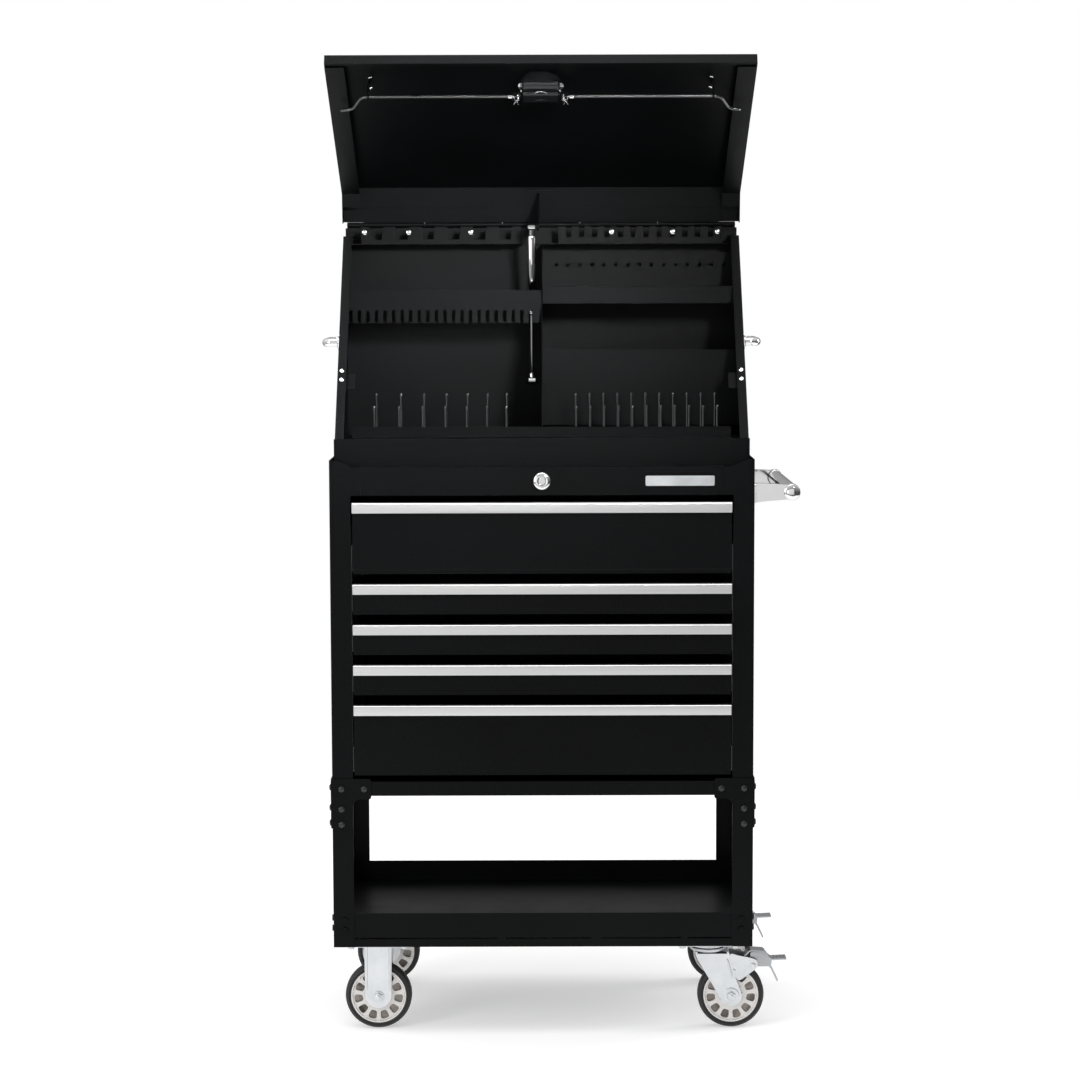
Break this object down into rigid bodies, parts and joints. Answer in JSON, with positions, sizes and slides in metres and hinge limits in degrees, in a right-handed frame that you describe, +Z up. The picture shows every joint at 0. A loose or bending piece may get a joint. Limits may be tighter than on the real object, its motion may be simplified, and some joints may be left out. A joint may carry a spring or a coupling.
{
  "type": "rolling tool chest",
  "caption": "Rolling steel tool chest with drawers under a slant-front toolbox whose lid lifts on a gas strut, on an open stand with casters, a push handle and hanging tool racks.",
  "frame": {"origin": "middle of the footprint of the whole part, on the floor", "axes": "+X to the right-hand side, where the push handle is, +Y to the back, +Z up"},
  "size_m": [0.8734, 0.5036, 1.7631],
  "materials": {
    "powder_coated_steel": "black satin powder coat with a fine texture",
    "satin_aluminium": "satin anodised extrusion with a fine lengthwise grain",
    "zinc_plated_steel": "bright zinc plating",
    "chrome": "polished chrome",
    "caster_wheel": "pale moulded wheel core with a black rubber tyre"
  },
  "bodies": {
    "root": {"cabinet_shell": "powder_coated_steel", "cabinet_deck": "powder_coated_steel", "top_rail": "powder_coated_steel", "cabinet_floor": "powder_coated_steel", "left_slide_rails": "zinc_plated_steel", "right_slide_rails": "zinc_plated_steel", "lower_tray": "powder_coated_steel", "lock_body": "chrome", "push_handle": "chrome", "front_left_leg": "powder_coated_steel", "front_left_bracket": "powder_coated_steel", "front_left_fork": "zinc_plated_steel", "front_right_leg": "powder_coated_steel", "front_right_bracket": "powder_coated_steel", "front_right_swivel_plate": "zinc_plated_steel", "rear_left_leg": "powder_coated_steel", "rear_left_bracket": "powder_coated_steel", "rear_left_fork": "zinc_plated_steel", "rear_right_leg": "powder_coated_steel", "rear_right_bracket": "powder_coated_steel", "rear_right_swivel_plate": "zinc_plated_steel", "toolbox_base": "powder_coated_steel", "toolbox_left_side": "powder_coated_steel", "toolbox_right_side": "powder_coated_steel", "toolbox_back": "powder_coated_steel", "center_divider": "powder_coated_steel", "top_rack": "powder_coated_steel", "left_rack": "powder_coated_steel", "right_tier": "powder_coated_steel", "pliers_rack": "powder_coated_steel", "left_carry_handle": "chrome", "right_carry_handle": "chrome", "hinge_box_leaf": "powder_coated_steel"},
    "drawer_1": {"drawer_1_box": "powder_coated_steel", "drawer_1_pull": "satin_aluminium"},
    "drawer_2": {"drawer_2_box": "powder_coated_steel", "drawer_2_pull": "satin_aluminium"},
    "drawer_3": {"drawer_3_box": "powder_coated_steel", "drawer_3_pull": "satin_aluminium"},
    "drawer_4": {"drawer_4_box": "powder_coated_steel", "drawer_4_pull": "satin_aluminium"},
    "drawer_5": {"drawer_5_box": "powder_coated_steel", "drawer_5_pull": "satin_aluminium"},
    "lid": {"lid_shell": "powder_coated_steel", "hinge_lid_leaf": "powder_coated_steel", "latch_housing": "powder_coated_steel"},
    "latch_handle": {"latch_handle": "chrome"},
    "left_lock_rod": {"left_lock_rod": "zinc_plated_steel"},
    "right_lock_rod": {"right_lock_rod": "zinc_plated_steel"},
    "strut_rod": {"strut_rod": "chrome"},
    "strut_tube": {"strut_tube": "chrome"},
    "lock_plug": {"lock_plug": "chrome"},
    "front_right_caster": {"front_right_fork": "zinc_plated_steel"},
    "front_right_brake": {"front_right_brake_pedal": "zinc_plated_steel"},
    "front_right_wheel": {"front_right_wheel": "caster_wheel"},
    "front_left_wheel": {"front_left_wheel": "caster_wheel"},
    "rear_right_caster": {"rear_right_fork": "zinc_plated_steel"},
    "rear_right_brake": {"rear_right_brake_pedal": "zinc_plated_steel"},
    "rear_right_wheel": {"rear_right_wheel": "caster_wheel"},
    "rear_left_wheel": {"rear_left_wheel": "caster_wheel"}
  },
  "joints": [
    {"name": "drawer_1_slide", "type": "slide", "parent": "root", "child": "drawer_1", "axis": [0, -1, 0], "range_m": [0, 0.36]},
    {"name": "drawer_2_slide", "type": "slide", "parent": "root", "child": "drawer_2", "axis": [0, -1, 0], "range_m": [0, 0.36]},
    {"name": "drawer_3_slide", "type": "slide", "parent": "root", "child": "drawer_3", "axis": [0, -1, 0], "range_m": [0, 0.36]},
    {"name": "drawer_4_slide", "type": "slide", "parent": "root", "child": "drawer_4", "axis": [0, -1, 0], "range_m": [0, 0.36]},
    {"name": "drawer_5_slide", "type": "slide", "parent": "root", "child": "drawer_5", "axis": [0, -1, 0], "range_m": [0, 0.36]},
    {"name": "lid_hinge", "type": "hinge", "parent": "root", "child": "lid", "pos_m": [-0.02685, 0.17847, 1.4757], "axis": [1, 0, 0], "range_deg": [0, 81.7]},
    {"name": "strut_pivot", "type": "hinge", "parent": "root", "child": "strut_rod", "pos_m": [-0.04485, 0.12597, 1.1797], "axis": [1, 0, 0], "range_deg": [-22.49, 0]},
    {"name": "strut_slide", "type": "slide", "parent": "strut_rod", "child": "strut_tube", "axis": [0, -0.1622, 0.9868], "range_m": [-0.09349, 0]},
    {"name": "latch_turn", "type": "hinge", "parent": "lid", "child": "latch_handle", "pos_m": [-0.02685, -0.16926, 1.72403], "axis": [0, 0.4648, 0.8854], "range_deg": [0, 90.5]},
    {"name": "left_lock_rod_slide", "type": "slide", "parent": "lid", "child": "left_lock_rod", "axis": [-1, 0, 0], "range_m": [0, 0.008]},
    {"name": "right_lock_rod_slide", "type": "slide", "parent": "lid", "child": "right_lock_rod", "axis": [1, 0, 0], "range_m": [0, 0.0081]},
    {"name": "key_turn", "type": "hinge", "parent": "root", "child": "lock_plug", "pos_m": [-0.02685, -0.20403, 1.01275], "axis": [0, 1, 0], "range_deg": [0, 90]},
    {"name": "front_right_swivel", "type": "hinge", "parent": "root", "child": "front_right_caster", "pos_m": [0.27615, -0.14403, 0.155], "axis": [0, 0, 1], "continuous": true},
    {"name": "front_right_roll", "type": "hinge", "parent": "front_right_caster", "child": "front_right_wheel", "pos_m": [0.31815, -0.14403, 0.061], "axis": [0, 1, 0], "continuous": true},
    {"name": "front_right_brake_press", "type": "hinge", "parent": "front_right_caster", "child": "front_right_brake", "pos_m": [0.35815, -0.14403, 0.118], "axis": [0, 1, 0], "range_deg": [0, 8]},
    {"name": "front_left_roll", "type": "hinge", "parent": "root", "child": "front_left_wheel", "pos_m": [-0.32985, -0.14403, 0.061], "axis": [0, 1, 0], "continuous": true},
    {"name": "rear_right_swivel", "type": "hinge", "parent": "root", "child": "rear_right_caster", "pos_m": [0.27615, 0.18597, 0.155], "axis": [0, 0, 1], "continuous": true},
    {"name": "rear_right_roll", "type": "hinge", "parent": "rear_right_caster", "child": "rear_right_wheel", "pos_m": [0.31815, 0.18597, 0.061], "axis": [0, 1, 0], "continuous": true},
    {"name": "rear_right_brake_press", "type": "hinge", "parent": "rear_right_caster", "child": "rear_right_brake", "pos_m": [0.35815, 0.18597, 0.118], "axis": [0, 1, 0], "range_deg": [0, 8]},
    {"name": "rear_left_roll", "type": "hinge", "parent": "root", "child": "rear_left_wheel", "pos_m": [-0.32985, 0.18597, 0.061], "axis": [0, 1, 0], "continuous": true}
  ],
  "couplings": [
    {"joint": "strut_pivot", "follows": "lid_hinge", "ratio": -0.26915},
    {"joint": "strut_slide", "follows": "lid_hinge", "m_per_rad": -0.065214},
    {"joint": "latch_turn", "follows": "left_lock_rod_slide", "rad_per_m": 196.35},
    {"joint": "right_lock_rod_slide", "follows": "left_lock_rod_slide", "ratio": 1}
  ]
}
